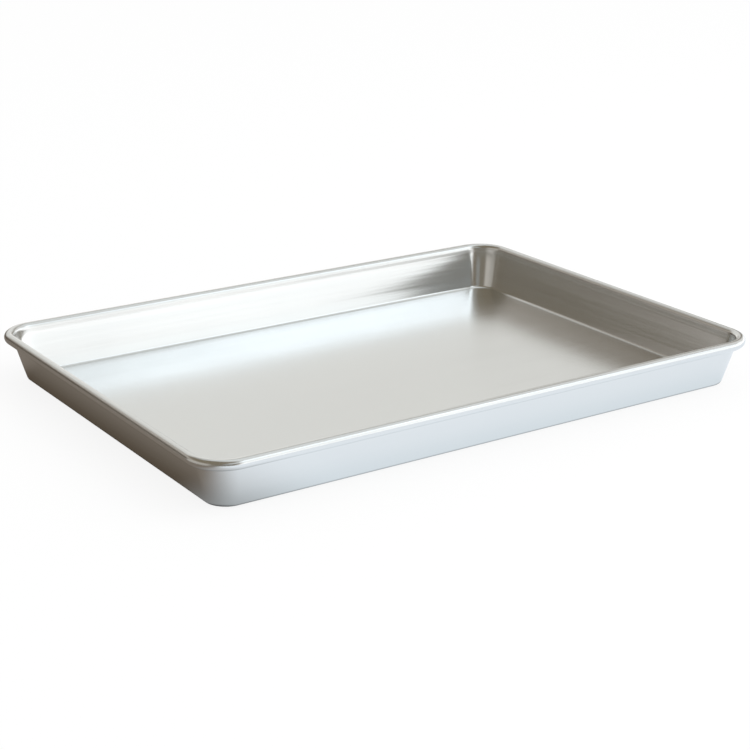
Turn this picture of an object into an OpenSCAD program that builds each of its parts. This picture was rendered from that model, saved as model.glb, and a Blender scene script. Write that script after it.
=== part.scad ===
// Jelly roll pan: a shallow tray drawn from one aluminium sheet. Its flared walls
// end in a curl that is rolled outward and down round a steel wire.

/* [Pan] */
// Overall length, across the outside of the rim
pan_length = 330; // [200:1:480]
// Overall width, across the outside of the rim
pan_width = 239; // [120:1:360]
// Overall height, from the underside to the top of the rim
pan_height = 26.5; // [16:0.5:45]
// Outside radius of the rim's corners, seen from above
corner_r = 19.5; // [14:0.5:45]

/* [Sheet] */
// Thickness of the sheet
sheet_t = 0.9; // [0.5:0.1:1.5]
// Lean of the walls, in degrees from upright
wall_draft = 14; // [4:1:20]
// Radius of the bend between floor and wall, on the inside
floor_bend_r = 1.5; // [1:0.25:4]

/* [Rim] */
// Diameter of the wire inside the rim
wire_d = 3.4; // [2.4:0.1:4.6]
// Clearance all round the wire inside the curl
wire_fit = 0.05; // [0.02:0.01:0.2]
// Gap between the sheet's cut edge and the wall under the rim
seam_gap = 0.3; // [0.2:0.05:0.8]
// Gap where the two ends of the wire meet
wire_end_gap = 0.5; // [0.2:0.1:2]

/* [Hidden] */
$fn = 64;

// Radii of the curl: the bore that holds the wire, and the outside of the bead
bore_r = wire_d / 2 + wire_fit;
bead_r = bore_r + sheet_t;

// The floor bend's outside radius, which is also the height of its centre
bend_outer_r = floor_bend_r + sheet_t;

// Along the leaning wall, the bead's centre lies this far out from the bend's
// centre, and the wall is as long as the bead's top needs to reach pan_height
bead_offset = floor_bend_r + bead_r;
bead_z = pan_height - bead_r;
wall_length = (bead_z - bend_outer_r + bead_offset * sin(wall_draft)) / cos(wall_draft);

// Flat part of the section, from the corner's centre to where the bend starts
floor_run = corner_r - bead_r - bead_offset * cos(wall_draft) - wall_length * sin(wall_draft);

// Straight runs between the corners
straight_x = pan_length - 2 * corner_r;
straight_y = pan_width - 2 * corner_r;

// The curl stops this many degrees short of a full turn, which leaves seam_gap
// between its cut edge and the outer face of the wall
curl_open = acos((bore_r - seam_gap) / bead_r);

// The section's arcs are drawn with a point at about every arc_step degrees
arc_step = 9;

// Points along an arc round a centre, from one angle to another
function arc(centre, r, from, to) =
    let (steps = ceil(abs(to - from) / arc_step))
    [for (i = [0 : steps])
        let (angle = from + (to - from) * i / steps)
        centre + r * [cos(angle), sin(angle)]];

// Section through floor, bend, wall and curl. X runs outward from the corner's
// centre, and Y runs up from the underside. The outline follows the sheet's lower
// and outer face to the cut edge, and comes back along the upper and inner face.
module sheet_section() {
    bend_centre = [floor_run, bend_outer_r];
    bead_centre = [corner_r - bead_r, bead_z];
    wall_at_bend = -wall_draft;
    wall_at_bead = 180 - wall_draft;
    cut_edge = wall_at_bead - (360 - curl_open);
    polygon(concat(
        [[0, 0]],
        arc(bend_centre, bend_outer_r, -90, wall_at_bend),
        arc(bead_centre, bore_r, wall_at_bead, cut_edge),
        arc(bead_centre, bead_r, cut_edge, wall_at_bead),
        arc(bend_centre, floor_bend_r, wall_at_bend, -90),
        [[0, sheet_t]]
    ));
}

// Places its children at the four corners' centres, each turned to face outward
module at_corners() {
    for (turn = [0 : 3]) {
        sx = (turn == 0 || turn == 3) ? 1 : -1;
        sy = turn < 2 ? 1 : -1;
        translate([sx * straight_x / 2, sy * straight_y / 2, 0])
            rotate([0, 0, 90 * turn])
                children();
    }
}

// A straight side: the section drawn out to a length, facing +X
module side(length) {
    rotate([90, 0, 0])
        linear_extrude(height = length, center = true)
            sheet_section();
}

module pan_shell() {
    color("silver")
    union() {
        translate([-straight_x / 2, -straight_y / 2, 0])
            cube([straight_x, straight_y, sheet_t]);
        for (turn = [0, 180])
            rotate([0, 0, turn]) {
                translate([straight_x / 2, 0, 0])
                    side(straight_y);
                rotate([0, 0, 90])
                    translate([straight_y / 2, 0, 0])
                        side(straight_x);
            }
        at_corners()
            rotate_extrude(angle = 90)
                sheet_section();
    }
}

// A straight run of wire along X, centred on its own middle
module wire_run(length) {
    rotate([0, 90, 0])
        cylinder(h = length, d = wire_d, center = true);
}

module rim_wire() {
    wire_corner_r = corner_r - bead_r;
    color("slategray")
    translate([0, 0, bead_z])
    difference() {
        union() {
            for (s = [-1, 1]) {
                translate([0, s * (pan_width / 2 - bead_r), 0])
                    wire_run(straight_x);
                translate([s * (pan_length / 2 - bead_r), 0, 0])
                    rotate([0, 0, 90])
                        wire_run(straight_y);
            }
            at_corners()
                rotate_extrude(angle = 90)
                    translate([wire_corner_r, 0])
                        circle(d = wire_d);
        }
        translate([0, pan_width / 2 - bead_r, 0])
            cube([wire_end_gap, 2 * wire_d, 2 * wire_d], center = true);
    }
}

pan_shell();
rim_wire();
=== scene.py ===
# %% [markdown]
# # A jelly roll pan in bare aluminium
# The pan is one sheet of aluminium, drawn into a shallow tray, with its rim
# curled round a steel wire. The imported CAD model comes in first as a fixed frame
# that gives every place and size. The camera, the sheet, its finish, the wire's
# finish and the studio follow in that order. Sizes are in metres, unless a name or
# a comment says otherwise.

# %% Load the frame
import math

import bpy
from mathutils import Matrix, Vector


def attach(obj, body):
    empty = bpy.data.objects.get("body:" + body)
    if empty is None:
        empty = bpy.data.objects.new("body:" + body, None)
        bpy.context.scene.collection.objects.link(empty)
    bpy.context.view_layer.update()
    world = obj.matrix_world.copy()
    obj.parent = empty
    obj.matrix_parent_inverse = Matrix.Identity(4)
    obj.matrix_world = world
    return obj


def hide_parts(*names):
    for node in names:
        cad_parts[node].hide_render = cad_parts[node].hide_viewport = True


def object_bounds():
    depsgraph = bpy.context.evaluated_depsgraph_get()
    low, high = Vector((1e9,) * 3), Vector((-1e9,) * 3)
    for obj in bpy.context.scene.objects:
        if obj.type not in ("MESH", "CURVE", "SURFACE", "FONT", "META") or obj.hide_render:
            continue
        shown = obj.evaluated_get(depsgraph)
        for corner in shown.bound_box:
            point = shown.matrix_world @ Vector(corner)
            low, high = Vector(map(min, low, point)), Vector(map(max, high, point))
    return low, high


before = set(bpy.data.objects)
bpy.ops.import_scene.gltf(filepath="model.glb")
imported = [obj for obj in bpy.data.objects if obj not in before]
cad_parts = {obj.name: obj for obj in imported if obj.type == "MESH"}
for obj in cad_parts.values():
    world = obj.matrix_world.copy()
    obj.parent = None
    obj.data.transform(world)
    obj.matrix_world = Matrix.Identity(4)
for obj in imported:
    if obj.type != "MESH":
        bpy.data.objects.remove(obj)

cad_low, cad_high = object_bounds()
pan_length = cad_high.x - cad_low.x
pan_width = cad_high.y - cad_low.y
pan_height = cad_high.z
print(f"CAD box: {pan_length:.4f} x {pan_width:.4f} x {pan_height:.4f} m")

# %% [markdown]
# ## Camera
# A lens is chosen by its distance. From close by, the near corner of a pan
# swells and the far one shrinks. From far away, opposite rims run parallel. Here
# the rims draw together slightly, as a portrait lens of about 85 mm shows them
# from a little under a metre. The camera could be placed by hand, but a bearing, an
# elevation and a distance from one point on the table are easier to reason about,
# and they move the camera round the pan without losing it. Both angles are in
# degrees. Bearings are counted from the front, and grow towards the right.

# %% Camera
camera_bearing = -33.49
camera_elevation = 19.2
camera_distance = 0.949
looked_at = Vector((0.0044, 0.0053, 0.0))
sensor_mm = 36
lens_mm = 84.68


def direction(bearing, elevation):
    """The direction at a bearing and an elevation, both in degrees."""
    turn, rise = math.radians(bearing), math.radians(elevation)
    return Vector((
        math.sin(turn) * math.cos(rise),
        -math.cos(turn) * math.cos(rise),
        math.sin(rise),
    ))


def put_in_scene(name, data):
    """Makes an object from its data and puts it in the scene."""
    made = bpy.data.objects.new(name, data)
    bpy.context.scene.collection.objects.link(made)
    return made


towards_camera = direction(camera_bearing, camera_elevation)
camera_data = bpy.data.cameras.new("camera")
camera_data.sensor_width = sensor_mm
camera_data.lens = lens_mm
camera = put_in_scene("camera", camera_data)
camera.location = looked_at + towards_camera * camera_distance
camera.rotation_euler = (-towards_camera).to_track_quat("-Z", "Y").to_euler()
bpy.context.scene.camera = camera
bpy.context.scene.view_settings.view_transform = "Standard"
print("camera stands at", [round(v, 3) for v in camera.location])

# %% [markdown]
# ## The section of the sheet
# Every wall of the pan has one and the same section: floor, a tight bend, a
# wall that leans outward so that pans stack, and a curl rolled outward and down
# until it almost meets the wall again. A box with bevels could give the tray but
# not the curl. So the section is written once, as a line of points that runs out
# along the underside and comes back along the inside, and is carried round the
# pan afterwards. Each point is kept as two numbers that stay the same on straights
# and corners alike. The first is how far past the rim's outermost line it lies, so
# it is nothing at that line and negative inside it. The second is its height.

# %% Sizes of the section
sheet_thickness = 0.0009
corner_radius = 0.0195
wall_lean = math.radians(14)
bend_inside = 0.0015
wire_radius = 0.0017
wire_room = 0.00005
seam_gap = 0.0003

curl_inside = wire_radius + wire_room
curl_outside = curl_inside + sheet_thickness
bend_outside = bend_inside + sheet_thickness
curl_centre = (-curl_outside, pan_height - curl_outside)
curl_bottom = curl_centre[1] - curl_outside
wall_to_curl = bend_inside + curl_outside
wall_length = (
    curl_centre[1] - bend_outside + wall_to_curl * math.sin(wall_lean)
) / math.cos(wall_lean)
bend_centre = (
    curl_centre[0]
    - wall_to_curl * math.cos(wall_lean)
    - wall_length * math.sin(wall_lean),
    bend_outside,
)
print(f"wall {wall_length * 1000:.2f} mm long, curl {2 * curl_outside * 1000:.2f} mm across")

# %% Points of the section
arc_step = math.radians(7.5)
wall_steps = 22


def arc_points(centre, radius, start, end):
    """Points of an arc from one angle to another, both ends included."""
    steps = math.ceil(abs(end - start) / arc_step)
    angles = [start + (end - start) * i / steps for i in range(steps + 1)]
    return [
        (centre[0] + radius * math.cos(a), centre[1] + radius * math.sin(a))
        for a in angles
    ]


def line_between(start, end, steps):
    """Points between two others, without the ends."""
    return [
        tuple(a + (b - a) * i / steps for a, b in zip(start, end))
        for i in range(1, steps)
    ]


straight_up = math.radians(90)
full_turn = math.radians(360)
wall_face = math.radians(180) - wall_lean
curl_left_open = math.acos((curl_inside - seam_gap) / curl_outside)
cut_edge = wall_face - full_turn + curl_left_open

bend_under = arc_points(bend_centre, bend_outside, -straight_up, -wall_lean)
curl_bore = arc_points(curl_centre, curl_inside, wall_face, cut_edge)
curl_skin = arc_points(curl_centre, curl_outside, cut_edge, wall_face)
bend_over = arc_points(bend_centre, bend_inside, -wall_lean, -straight_up)
section = (
    bend_under
    + line_between(bend_under[-1], curl_bore[0], wall_steps)
    + curl_bore
    + curl_skin
    + line_between(curl_skin[-1], bend_over[0], wall_steps)
    + bend_over
)
print(len(section), "points in the section")

# %% [markdown]
# ## The pan
# The section could follow a curve as its bevel, but a bevel keeps one shape all
# the way round. In a drawn corner the metal is stretched over the punch, and the
# corner is a little rounder at the floor than at the rim. So each point of the
# section becomes a ring of its own round the pan, a rectangle with round corners
# whose radius may differ from its neighbours'. Rings are then joined with
# four-sided faces, and two grids close the floor above and below.

# %% Rings round the pan
corner_steps = 24
long_steps = 48
short_steps = 34
corner_ease = 0.002


def ease(x):
    """Goes smoothly from 0 to 1 as x does."""
    x = min(max(x, 0.0), 1.0)
    return x * x * (3 - 2 * x)


def ring(past_rim, height, radius):
    """A ring of points, from where the right-hand side meets the back right corner."""
    half_x = pan_length / 2 + past_rim
    half_y = pan_width / 2 + past_rim
    core_x, core_y = half_x - radius, half_y - radius
    corners = [(core_x, core_y), (-core_x, core_y), (-core_x, -core_y), (core_x, -core_y)]
    points = []
    for turn, centre in enumerate(corners):
        for i in range(corner_steps + 1):
            a = straight_up * (turn + i / corner_steps)
            points.append((centre[0] + radius * math.cos(a), centre[1] + radius * math.sin(a)))
        after = corners[(turn + 1) % 4]
        a = straight_up * (turn + 1)
        begin = points[-1]
        end = (after[0] + radius * math.cos(a), after[1] + radius * math.sin(a))
        steps = long_steps if turn % 2 == 0 else short_steps
        points += line_between(begin, end, steps)
    return [(x, y, height) for x, y in points]


def corner_radius_at(past_rim, height):
    """Corner radius of the ring through a point of the section."""
    share = (height - bend_outside) / (curl_bottom - bend_outside)
    return corner_radius + past_rim + corner_ease * (1 - ease(share))


def outward_directions():
    """The direction that faces out of the pan at each station of a ring."""
    angles = []
    for turn in range(4):
        angles += [turn + i / corner_steps for i in range(corner_steps + 1)]
        steps = long_steps if turn % 2 == 0 else short_steps
        angles += [turn + 1] * (steps - 1)
    return [(math.cos(straight_up * a), math.sin(straight_up * a)) for a in angles]


rings = [ring(-corner_radius, 0.0, 0.0)]
rings += [
    ring(past_rim, height, corner_radius_at(past_rim, height))
    for past_rim, height in section
]
rings.append(ring(-corner_radius, sheet_thickness, 0.0))
outward = outward_directions()
stations = len(outward)
print(len(rings), "rings of", stations, "points")

# %% [markdown]
# ## Waves in the sheet
# Sheet this thin is never quite flat. The floor stands a tenth of a millimetre or
# so proud in its middle. The walls spring back a little when the punch lets go, so
# they bow outward between the bend and the curl, and they keep long shallow waves.
# On bright metal these show only as bends in what it mirrors, so they could be left
# to a bump map, but a bump map leaves the outline straight and is lost when the
# mesh is used elsewhere. The points are moved instead, by less than a quarter of a
# millimetre. Both faces move alike, so the sheet keeps its thickness.

# %% Rise of the floor
from mathutils import noise

straight_half_x = pan_length / 2 - corner_radius
straight_half_y = pan_width / 2 - corner_radius
floor_rise = 0.00015
usual_share = 0.7
share_varies = 0.6
floor_wave_x = 0.11
floor_wave_y = 0.09
floor_wave_layer = 3.1
fade_width = 0.045


def floor_lift(x, y):
    """Height that the floor gains at a point: none at its edge, most in its middle."""
    edge = min(straight_half_x - abs(x), straight_half_y - abs(y))
    place = Vector((x / floor_wave_x, y / floor_wave_y, floor_wave_layer))
    share = usual_share + share_varies * noise.noise(place)
    return floor_rise * ease(edge / fade_width) * share


print(f"the floor's middle is {floor_lift(0, 0) * 1000:.2f} mm proud")

# %% Bow of the walls
wall_bow = 0.00021
bow_over_bend = 0.0065
bow_under_curl = 0.005
wall_wave = 0.00003
wave_round_pan = 0.06
wave_up_wall = 0.03


def wall_push(x, y, along_wall):
    """Distance that a wall bows out, by how far up the wall a point lies."""
    from_curl = wall_length - along_wall
    if along_wall <= 0 or from_curl <= 0:
        return 0.0
    rise = math.sin(straight_up * min(along_wall / bow_over_bend, 1))
    fall = math.sin(straight_up * min(from_curl / bow_under_curl, 1))
    place = Vector((x / wave_round_pan, y / wave_round_pan, along_wall / wave_up_wall))
    return (wall_bow + wall_wave * noise.noise(place)) * rise * fall


half_way_up = wall_push(pan_length / 2, 0, wall_length / 2)
print(f"the right wall bows out {half_way_up * 1000:.2f} mm half way up")

# %% [markdown]
# ## Where each point comes from
# The finish will follow the metal as it was worked, so each point has to know two
# more places. One is where it lay on the flat blank before the press, for the lines
# of the rolling mill. It is kept as a vector on the point, and a made-up distance
# between the two faces of the sheet stops them from having the same lines. The
# other is how far round the rim and how far along the section it lies, for the
# lines of the die. That one is a UV map, which may have a seam, and which can tell
# the shader which way the rim runs. Both could be worked out in the finish from a
# point's place in the room, but that smears them at bends and corners, so the sheet
# is measured along its surface here.

# %% Lengths along the sheet
def developed_lengths(points):
    """Length along a line of points up to each of them."""
    total = [0.0]
    for a, b in zip(points, points[1:]):
        total.append(total[-1] + math.dist(a, b))
    return total


cut_at = section.index(curl_skin[0])
outer_run = [0.0] + developed_lengths(section[:cut_at])
inner_run = developed_lengths(section[cut_at:][::-1])[::-1] + [0.0]
runs = outer_run + inner_run
bend_arc = straight_up - wall_lean
around_bend = (
    [bend_outside * bend_arc] * len(outer_run)
    + [bend_inside * bend_arc] * len(inner_run)
)
rim_line = rings[1 + cut_at]
rim_run = developed_lengths(rim_line + rim_line[:1])
print(f"{max(runs) * 1000:.1f} mm from foot to cut edge, {rim_run[-1] * 1000:.0f} mm round")

# %% Points of the walls and the curl
import bmesh

pan_mesh = bpy.data.meshes.new("pan_sheet")
bm = bmesh.new()
blank = bm.verts.layers.float_vector.new("blank")
around = bm.loops.layers.uv.new("around")
between_faces = 0.4
bend_start = rings[1]
last_ring = len(rings) - 1


def add_point(x, y, z, blank_x, blank_y, inside):
    """Adds a point and notes where it lay on the flat blank, and on which face."""
    vert = bm.verts.new((x, y, z))
    vert[blank] = (blank_x, blank_y, between_faces if inside else 0.0)
    return vert


def add_row(index):
    """Adds the points of one ring, with the wall's bow."""
    run = runs[index]
    row = []
    for station, (x, y, z) in enumerate(rings[index]):
        out_x, out_y = outward[station]
        push = wall_push(x, y, run - around_bend[index])
        start_x, start_y = (x, y) if index in (0, last_ring) else bend_start[station][:2]
        row.append(add_point(
            x + out_x * push, y + out_y * push, z,
            start_x + out_x * run, start_y + out_y * run, index > cut_at,
        ))
    return row


rows = [add_row(index) for index in range(len(rings))]
print(len(bm.verts), "points on the walls and the curl")

# %% Faces of the walls and the curl
mill, drawn = 0, 1
for index, (row, above) in enumerate(zip(rows, rows[1:])):
    bottom, top = runs[index], runs[index + 1]
    still_floor = index in (0, last_ring - 1)
    for station in range(stations):
        after = (station + 1) % stations
        left, right = rim_run[station], rim_run[station + 1]
        face = bm.faces.new((row[station], row[after], above[after], above[station]))
        face.material_index = mill if still_floor else drawn
        places = ((left, bottom), (right, bottom), (right, top), (left, top))
        for loop, place in zip(face.loops, places):
            loop[around].uv = place
print(len(bm.faces), "faces on the walls and the curl")

# %% Faces of the floor
def close_floor(height):
    """Closes the floor at a height with a grid, which has the floor's rise."""
    columns = [straight_half_x * (2 * i / long_steps - 1) for i in range(long_steps + 1)]
    grid = []
    for j in range(short_steps + 1):
        y = straight_half_y * (2 * j / short_steps - 1)
        grid.append([
            add_point(x, y, height + floor_lift(x, y), x, y, height > 0) for x in columns
        ])
    for low_row, high_row in zip(grid, grid[1:]):
        for i in range(long_steps):
            face = bm.faces.new((low_row[i], low_row[i + 1], high_row[i + 1], high_row[i]))
            face.material_index = mill
            for loop in face.loops:
                loop[around].uv = loop.vert.co.xy


for height in (0.0, sheet_thickness):
    close_floor(height)
print(len(bm.faces), "faces with the floor")

# %% [markdown]
# The rings and the grids still lie loose side by side, and a ring with a corner
# radius of nothing has many points in one place. Welding what lies together turns
# them into one closed skin, whose volume can be checked against the CAD model's 95
# cubic centimetres. Only the sheet's cut edge stays sharp. The rest is shaded
# smooth.

# %% Weld the sheet and hand it over
weld_distance = 0.000002
sharp_from = math.radians(40)
bmesh.ops.remove_doubles(bm, verts=bm.verts, dist=weld_distance)
bmesh.ops.dissolve_degenerate(bm, edges=bm.edges, dist=weld_distance)
bmesh.ops.recalc_face_normals(bm, faces=bm.faces)
loose_edges = sum(1 for e in bm.edges if len(e.link_faces) != 2)
volume = bm.calc_volume()
bm.to_mesh(pan_mesh)
bm.free()
for polygon in pan_mesh.polygons:
    polygon.use_smooth = True
pan_mesh.set_sharp_from_angle(angle=sharp_from)
pan = put_in_scene("pan_sheet", pan_mesh)
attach(pan, "root")
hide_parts("pan_shell")
print(f"{len(pan_mesh.polygons)} faces, {loose_edges} open edges, {volume * 1e6:.2f} cm3")

# %% [markdown]
# ## Finish of the sheet
# Bare aluminium has hardly any colour of its own. What an eye reads as its finish
# is how widely each part of it smears what it mirrors, and which way. The floor
# keeps the dull face that the sheet had from the rolling mill, with fine lines
# along the length of the coil. The punch and the die rubbed the walls smoother, and
# left faint lines on them that run round with the rim. They rubbed the corners
# smoother still, where the metal was pressed hardest. The curl was rolled last, and
# its stretched skin is a little duller. So there are two finishes, and both are
# metal with a nearly white grey. A painted map could show the lines, but here they
# are noise that is drawn out long. The floor's noise is laid on the flat blank, as
# the lines were on the coil, and the walls' noise on a strip that is unrolled round
# the rim.

# %% Lines and clouds of the mill finish
# features to the metre: along the coil, across it, and from one face to the other
mill_lines_per_metre = (22.0, 1900.0, 1.0)
mill_line_detail = 2.0
mill_clouds_per_metre = (9.0, 14.0, 5.0)
cloud_detail = 3.0


def new_finish(name):
    """A finish that is all metal, with its tree and its shader."""
    finish = bpy.data.materials.new(name)
    finish.use_nodes = True
    tree = finish.node_tree
    shader = tree.nodes["Principled BSDF"]
    shader.inputs["Metallic"].default_value = 1
    return finish, tree, shader


def place_on_blank(tree):
    """Where a point lay on the flat blank."""
    stored = tree.nodes.new("ShaderNodeAttribute")
    stored.attribute_name = "blank"
    return stored.outputs["Vector"]


def drawn_out_noise(tree, place, per_metre, detail):
    """Noise on a place, with its own number of features to the metre each way."""
    stretch = tree.nodes.new("ShaderNodeMapping")
    tree.links.new(place, stretch.inputs["Vector"])
    stretch.inputs["Scale"].default_value = per_metre
    grain = tree.nodes.new("ShaderNodeTexNoise")
    grain.inputs["Scale"].default_value = 1
    grain.inputs["Detail"].default_value = detail
    tree.links.new(stretch.outputs[0], grain.inputs["Vector"])
    return grain.outputs[0]


mill_finish, tree, shader = new_finish("mill_aluminium")
on_blank = place_on_blank(tree)
lines = drawn_out_noise(tree, on_blank, mill_lines_per_metre, mill_line_detail)
clouds = drawn_out_noise(tree, on_blank, mill_clouds_per_metre, cloud_detail)
print(f"mill lines about {1000 / mill_lines_per_metre[1]:.1f} mm apart")

# %% Roughness of the mill finish
noise_low, noise_high = 0.3, 0.7
mill_line_roughness = (0.195, 0.245)
mill_cloud_roughness = (-0.012, 0.018)


def feed(tree, socket, value):
    """Joins a socket to another one, or gives it a plain value."""
    if isinstance(value, bpy.types.NodeSocket):
        tree.links.new(value, socket)
    else:
        socket.default_value = value


def maths(tree, operation, *values):
    """The result of one sum on sockets and numbers."""
    node = tree.nodes.new("ShaderNodeMath")
    node.operation = operation
    for socket, value in zip(node.inputs, values):
        feed(tree, socket, value)
    return node.outputs[0]


def fade(tree, value, start, end, low=0.0, high=1.0):
    """Goes softly from low to high as a value goes from start to end."""
    node = tree.nodes.new("ShaderNodeMapRange")
    node.interpolation_type = "SMOOTHSTEP"
    for socket, number in zip(node.inputs, (value, start, end, low, high)):
        feed(tree, socket, number)
    return node.outputs[0]


def spread(tree, grain, low, high):
    """Spreads a noise, which seldom leaves its middle part, over a range of values."""
    return fade(tree, grain, noise_low, noise_high, low, high)


on_lines = spread(tree, lines, *mill_line_roughness)
on_clouds = spread(tree, clouds, *mill_cloud_roughness)
feed(tree, shader.inputs["Roughness"], maths(tree, "ADD", on_lines, on_clouds))
print("mill roughness about", round(sum(mill_line_roughness + mill_cloud_roughness) / 2, 3))

# %% Shade and relief of the mill finish
mill_pale, mill_deep = (0.812, 0.815, 0.806), (0.790, 0.796, 0.795)
mill_line_depth = 0.0000015


def tint(tree, shader, mask, pale, deep):
    """Shades the metal between two greys."""
    mix = tree.nodes.new("ShaderNodeMix")
    mix.data_type = "RGBA"
    # this node has its two colours at inputs 6 and 7, and mixes them into output 2
    tree.links.new(mask, mix.inputs[0])
    mix.inputs[6].default_value = (*pale, 1)
    mix.inputs[7].default_value = (*deep, 1)
    tree.links.new(mix.outputs[2], shader.inputs["Base Color"])


def relief(tree, shader, height, depth):
    """Raises the surface by a height that is given in parts of a depth in metres."""
    bump = tree.nodes.new("ShaderNodeBump")
    bump.inputs["Distance"].default_value = depth
    tree.links.new(height, bump.inputs["Height"])
    tree.links.new(bump.outputs[0], shader.inputs["Normal"])


tint(tree, shader, clouds, mill_pale, mill_deep)
relief(tree, shader, lines, mill_line_depth)
print("mill finish:", len(tree.nodes), "nodes")

# %% [markdown]
# As the sheet was drawn in past the die, it took scratches that run up the walls and
# are too fine to see. Such scratches smear a reflection sideways, along the rim. A
# map would have to be huge to hold them, so the smear is left to the shader's
# Anisotropic, with the rim's direction as its tangent. The drawn finish also has to
# know whether a point is in a corner, where the faint lines were pressed out, or on
# the curl. Both could be painted on the points, but they follow from a point's place
# on the pan, so they are worked out from that.

# %% Smear and lines of the drawn finish
sideways_smear = 0.6
# features to the metre: round the rim, along the section, and a third that isn't used
die_lines_per_metre = (5.0, 330.0, 1.0)
die_line_detail = 1.0
drawn_clouds_per_metre = (14.0, 14.0, 5.0)
drawn_finish, tree, shader = new_finish("drawn_aluminium")
shader.inputs["Anisotropic"].default_value = sideways_smear
along_rim = tree.nodes.new("ShaderNodeTangent")
along_rim.direction_type = "UV_MAP"
along_rim.uv_map = "around"
tree.links.new(along_rim.outputs[0], shader.inputs["Tangent"])
rim_place = tree.nodes.new("ShaderNodeUVMap")
rim_place.uv_map = "around"
on_strip = rim_place.outputs[0]
die_lines = drawn_out_noise(tree, on_strip, die_lines_per_metre, die_line_detail)
on_blank = place_on_blank(tree)
clouds = drawn_out_noise(tree, on_blank, drawn_clouds_per_metre, cloud_detail)
print(f"die lines about {1000 / die_lines_per_metre[1]:.1f} mm apart")

# %% Corners and curl of the drawn finish
curl_blend = 0.0012
place = tree.nodes.new("ShaderNodeTexCoord")
where = tree.nodes.new("ShaderNodeSeparateXYZ")
tree.links.new(place.outputs["Object"], where.inputs[0])


def past_straight(axis, straight_end):
    """How far past the end of the straight sides a point lies, along one axis."""
    from_middle = maths(tree, "ABSOLUTE", where.outputs[axis])
    return maths(tree, "SUBTRACT", from_middle, straight_end)


past_side = past_straight("X", straight_half_x)
past_end = past_straight("Y", straight_half_y)
in_corner = maths(tree, "MINIMUM", past_side, past_end)
on_curl = fade(tree, where.outputs["Z"], curl_bottom, curl_bottom + curl_blend)
print(f"the curl's finish begins {curl_bottom * 1000:.1f} mm up")

# %% Roughness of the drawn finish
die_line_roughness = (0.175, 0.205)
drawn_cloud_roughness = (-0.01, 0.012)
rub_start, rub_end = -0.006, 0.004
rubbed_smoother = 0.85
curl_duller = 1.3
on_lines = spread(tree, die_lines, *die_line_roughness)
on_clouds = spread(tree, clouds, *drawn_cloud_roughness)
corner_rub = fade(tree, in_corner, rub_start, rub_end, 1.0, rubbed_smoother)
stretched_skin = fade(tree, on_curl, 0.0, 1.0, 1.0, curl_duller)
rubbed = maths(tree, "MULTIPLY", maths(tree, "ADD", on_lines, on_clouds), corner_rub)
feed(tree, shader.inputs["Roughness"], maths(tree, "MULTIPLY", rubbed, stretched_skin))
print("drawn roughness about", round(sum(die_line_roughness + drawn_cloud_roughness) / 2, 3))

# %% Shade and relief of the drawn finish
drawn_pale, drawn_deep = (0.815, 0.818, 0.81), (0.792, 0.798, 0.796)
die_line_depth = 0.00004
off_curl = fade(tree, on_curl, 0.0, 1.0, 1.0, 0.0)
before_corner = fade(tree, in_corner, -corner_radius, 0.0, 1.0, 0.0)
scored = maths(tree, "MULTIPLY", off_curl, before_corner)
tint(tree, shader, clouds, drawn_pale, drawn_deep)
relief(tree, shader, maths(tree, "MULTIPLY", die_lines, scored), die_line_depth)
for finish in (mill_finish, drawn_finish):
    pan_mesh.materials.append(finish)
print("drawn finish:", len(tree.nodes), "nodes")

# %% [markdown]
# ## The wire
# The wire inside the curl shows only as a dark line in the gap under the rim. It
# is plain steel wire with a thin coat of zinc, so it is greyer and duller than the
# sheet. Zinc sets in small crystals, and they show as a fine speckle. The CAD wire
# has the right shape, so it stays as it is and only gets this finish, where a new
# piece could only repeat it.

# %% Zinc on the wire
spangles_per_metre = (600.0, 600.0, 600.0)
spangle_detail = 3.0
spangle_roughness = (0.32, 0.46)
spangle_pale, spangle_deep = (0.60, 0.61, 0.62), (0.50, 0.51, 0.53)
spangle_depth = 0.00001
wire_finish, tree, shader = new_finish("zinc_coated_wire")
place = tree.nodes.new("ShaderNodeTexCoord").outputs["Object"]
spangle = drawn_out_noise(tree, place, spangles_per_metre, spangle_detail)
feed(tree, shader.inputs["Roughness"], spread(tree, spangle, *spangle_roughness))
tint(tree, shader, spangle, spangle_pale, spangle_deep)
relief(tree, shader, spangle, spangle_depth)
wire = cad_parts["rim_wire"]
wire.data.materials[0] = wire_finish
print("wire finish on", wire.name)
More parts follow.
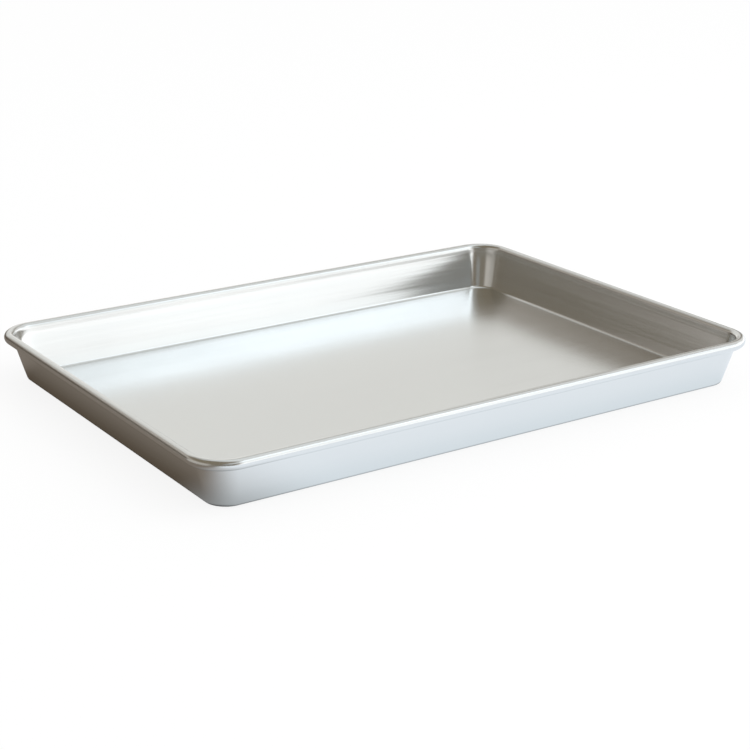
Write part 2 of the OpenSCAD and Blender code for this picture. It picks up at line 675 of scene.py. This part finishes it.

# %% [markdown]
# ## Studio
# Bare metal shows almost nothing but its surroundings, so the surroundings are
# built before any lamp is hung. White paper on all sides would turn the pan white
# on white. A photographer leaves one side of the room dark and sets a soft box on
# the other side, and the pan then draws itself in broad shades. The same is done
# here with painted light and shade: a glowing dome and a glowing sheet on the table
# that only reflections can see. The sheet on the table is painted dark on the left,
# as painted shadow of the pan. Their shades are painted on their points, because a
# painted dome gives soft edges at no cost, where a dozen separate cards would each
# need its own fade.

# %% Shades of the dome
room_shade = (0.77, 0.76, 0.74)
panels = [
    # name; bearing, reach, blur; elevation, reach, blur; shade (angles in degrees)
    ("dark room", -86, 155, 13, 45, 60, 20, (0.19, 0.16, 0.12)),
    ("pale wall on the left", -139, 72, 13, -8, 30, 47, (1.30, 1.25, 1.19)),
    ("doorway behind", 198, 31, 13, -5, 26, 12, (0.10, 0.08, 0.06)),
    ("soft box", 20, 38, 13, 43, 12, 12, (1.65, 1.78, 1.87)),
    ("bright paper in front", 63, 56, 13, -1, 13, 12, (1.45, 1.45, 1.45)),
    ("pale card behind", 161, 31, 13, 27, 17, 12, (0.82, 0.82, 0.79)),
    ("ceiling", 68, 123, 60, 80, 29, 12, (0.82, 0.85, 0.85)),
    ("dark curtain by the camera", -60, 84, 13, 63, 31, 60, (0.22, 0.19, 0.14)),
    ("fill card under the soft box", 53, 38, 13, 19, 12, 12, (1.23, 1.28, 1.29)),
    ("foot of the curtain", -68, 62, 14, 9, 8, 25, (0.23, 0.22, 0.19)),
    ("grey card by the camera", -21, 10, 13, 26, 7, 12, (0.37, 0.40, 0.41)),
]


def eased_band(value, middle, reach, blur):
    """1 within reach of the middle, fading to 0 over a blur that straddles the edge."""
    return 1 - ease((abs(value - middle) - reach + blur / 2) / blur)


def paint_over(under, over, cover):
    """A shade laid over another one, which shows through where the cover is thin."""
    return [a + (b - a) * cover for a, b in zip(under, over)]


def dome_shade(bearing, elevation):
    """The shade of the dome in one direction, with later panels over earlier ones."""
    shade = room_shade
    for _, middle, reach, blur, level, rise, soften, tone in panels:
        turn = (bearing - middle + 180) % 360 - 180
        cover = eased_band(turn, 0, reach, blur) * eased_band(elevation, level, rise, soften)
        shade = paint_over(shade, tone, cover)
    return shade


print("shade straight overhead:", [round(tone, 2) for tone in dome_shade(0, 90)])

# %% A glow in painted shades
# it isn't sampled as a lamp would be, since only reflections see it
painted_glow = bpy.data.materials.new("painted_glow")
painted_glow.use_nodes = True
tree = painted_glow.node_tree
tree.nodes.clear()
painted = tree.nodes.new("ShaderNodeAttribute")
painted.attribute_name = "shade"
glow = tree.nodes.new("ShaderNodeEmission")
output = tree.nodes.new("ShaderNodeOutputMaterial")
tree.links.new(painted.outputs["Color"], glow.inputs["Color"])
tree.links.new(glow.outputs[0], output.inputs["Surface"])
painted_glow.cycles.emission_sampling = "NONE"
print("painted glow:", len(tree.nodes), "nodes")

# %% Dome
dome_radius = 4.0
bearing_step = 2.5
elevation_step = 1.5


def reflected_only(name, rows, shades):
    """A painted sheet, woven from closed rows of points, that only reflections can see."""
    across = len(rows[0])
    points = [p for row in rows for p in row]
    faces = []
    for r in range(len(rows) - 1):
        low, high = r * across, (r + 1) * across
        for i in range(across):
            after = (i + 1) % across
            faces.append((low + i, low + after, high + after, high + i))
    mesh = bpy.data.meshes.new(name)
    mesh.from_pydata(points, [], faces)
    layer = mesh.color_attributes.new("shade", "FLOAT_COLOR", "POINT")
    for item, shade in zip(layer.data, shades):
        item.color = (*shade, 1)
    mesh.materials.append(painted_glow)
    sheet_of_light = put_in_scene(name, mesh)
    sheet_of_light.visible_camera = False
    sheet_of_light.visible_diffuse = False
    sheet_of_light.visible_shadow = False
    sheet_of_light.visible_transmission = False
    return sheet_of_light


bearings = [bearing_step * i for i in range(round(360 / bearing_step))]
elevations = [elevation_step * i for i in range(round(90 / elevation_step) + 1)]
dome_rows = [[direction(b, e) * dome_radius for b in bearings] for e in elevations]
dome_shades = [dome_shade(b, e) for e in elevations for b in bearings]
dome = reflected_only("studio_dome", dome_rows, dome_shades)
print("dome of", len(dome.data.polygons), "faces")

# %% [markdown]
# The outer walls lean over the table, so they mirror the table and not the dome. The
# table sheet is painted dark on the left, as painted shadow of the pan, and pale like
# paper on the right, both darker under the rim, as painted shade where less light
# gets in. Right where the pan stands it is painted nearly black, as a painted contact
# shadow, and the bend mirrors that as a thin dark line along the pan's foot. The
# painted sheet could be a grid, but a grid fine enough for that line would be huge.
# So it is woven from rings like the pan's own, close together at the foot and wide
# apart further out.

# %% Shades of the table
# painted shadow of the pan: left of a line through this corner the table is painted dark
shadow_line_corner = (-0.152, -0.106)
shadow_line_past_corner = 0.008
shadow_edge_blur = 0.082
# painted shade: the table is painted darker within this reach of the foot, under the rim
under_rim = 0.021
shadow_side_near, shadow_side_far = (0.09, 0.07, 0.05), (0.22, 0.19, 0.16)
paper_near, paper_far = (0.80, 0.88, 0.94), (0.91, 0.97, 1.03)
# painted contact shadow: the table is painted nearly black this close to the pan's foot
touching_width = 0.003
touching_shade = 0.1


def table_shade(x, y, from_foot):
    """The painted shade of the table: painted shadow up to a line by the near left corner,
    then paper.
    """
    past_corner = ((x - shadow_line_corner[0]) - (y - shadow_line_corner[1])) / math.sqrt(2)
    away = ease(from_foot / under_rim)
    shadow_side = paint_over(shadow_side_near, shadow_side_far, away)
    paper = paint_over(paper_near, paper_far, away)
    on_paper = ease((past_corner - shadow_line_past_corner + shadow_edge_blur / 2) / shadow_edge_blur)
    shade = paint_over(shadow_side, paper, on_paper)
    dim = touching_shade + (1 - touching_shade) * ease(from_foot / touching_width)
    return [tone * dim for tone in shade]


foot_shade = table_shade(0, -pan_width / 2, 0)
print("shade at the foot of the front wall:", [round(tone, 2) for tone in foot_shade])

# %% Painted shadow and paper on the table
millimetres_from_foot = [
    0, 1, 2, 3, 4, 6, 8, 11, 15, 22, 30, 40, 55, 75, 100, 150, 250, 400, 700, 1200, 2200, 4000,
]
table_height = -0.00002
foot_past_rim = bend_centre[0]
foot_radius = corner_radius + foot_past_rim
table_reaches = [millimetres / 1000 for millimetres in millimetres_from_foot]
table_rows = [
    ring(foot_past_rim + reach, table_height, foot_radius + reach) for reach in table_reaches
]
table_shades = [
    table_shade(x, y, reach)
    for reach, row in zip(table_reaches, table_rows)
    for x, y, _ in row
]
# a glowing sheet of painted shade and light, seen only in reflections
painted_table = reflected_only("painted_table", table_rows, table_shades)
print("table of", len(painted_table.data.polygons), "faces")

# %% [markdown]
# The floor is a plain white sheet. It keeps a trace of the pan's shadow, and the
# rest of it glows at exactly white to the camera, to reflections and to glass, so
# the background stays white without more light on the pan. The world is white in
# the same way, and a little weaker for the floor itself, which leaves room for one
# large lamp that gives the shadow a side.

# %% White floor
white = (1.0, 1.0, 1.0, 1.0)
floor_size = 8.0
floor_height = -0.0001
glow_share = 0.85
corners = [(-1, -1), (1, -1), (1, 1), (-1, 1)]
floor_mesh = bpy.data.meshes.new("floor")
floor_mesh.from_pydata(
    [(x * floor_size, y * floor_size, floor_height) for x, y in corners], [], [(0, 1, 2, 3)]
)
floor = put_in_scene("floor", floor_mesh)


def seen_rays(tree):
    """1 for rays from the camera, from reflections and through glass."""
    rays = tree.nodes.new("ShaderNodeLightPath").outputs
    seen = maths(tree, "MAXIMUM", rays["Is Camera Ray"], rays["Is Glossy Ray"])
    return maths(tree, "MAXIMUM", seen, rays["Is Transmission Ray"])


white_paper = bpy.data.materials.new("white_paper")
white_paper.use_nodes = True
tree = white_paper.node_tree
tree.nodes.clear()
matt = tree.nodes.new("ShaderNodeBsdfDiffuse")
matt.inputs["Color"].default_value = white
glow = tree.nodes.new("ShaderNodeEmission")
glow.inputs["Color"].default_value = white
blend = tree.nodes.new("ShaderNodeMixShader")
output = tree.nodes.new("ShaderNodeOutputMaterial")
feed(tree, blend.inputs[0], maths(tree, "MULTIPLY", seen_rays(tree), glow_share))
tree.links.new(matt.outputs[0], blend.inputs[1])
tree.links.new(glow.outputs[0], blend.inputs[2])
tree.links.new(blend.outputs[0], output.inputs["Surface"])
floor_mesh.materials.append(white_paper)
print("floor", 2 * floor_size, "m across")

# %% White world
world_on_floor = 0.9
world = bpy.data.worlds.new("studio_air")
bpy.context.scene.world = world
world.use_nodes = True
tree = world.node_tree
background = tree.nodes["Background"]
background.inputs["Color"].default_value = white
strength = fade(tree, seen_rays(tree), 0.0, 1.0, world_on_floor, 1.0)
feed(tree, background.inputs["Strength"], strength)
print("world:", len(tree.nodes), "nodes")

# %% Lamp
lamp_width = 1.2
lamp_watts = 7.0
lamp_place = (1.0, -0.8, 1.3)
lamp_data = bpy.data.lights.new("soft_lamp", "AREA")
lamp_data.shape = "SQUARE"
lamp_data.size = lamp_width
lamp_data.energy = lamp_watts
lamp = put_in_scene("soft_lamp", lamp_data)
lamp.location = lamp_place
lamp.rotation_euler = lamp.location.to_track_quat("Z", "Y").to_euler()
lamp.visible_glossy = False
print(f"lamp {lamp.location.length:.2f} m from the middle of the pan")
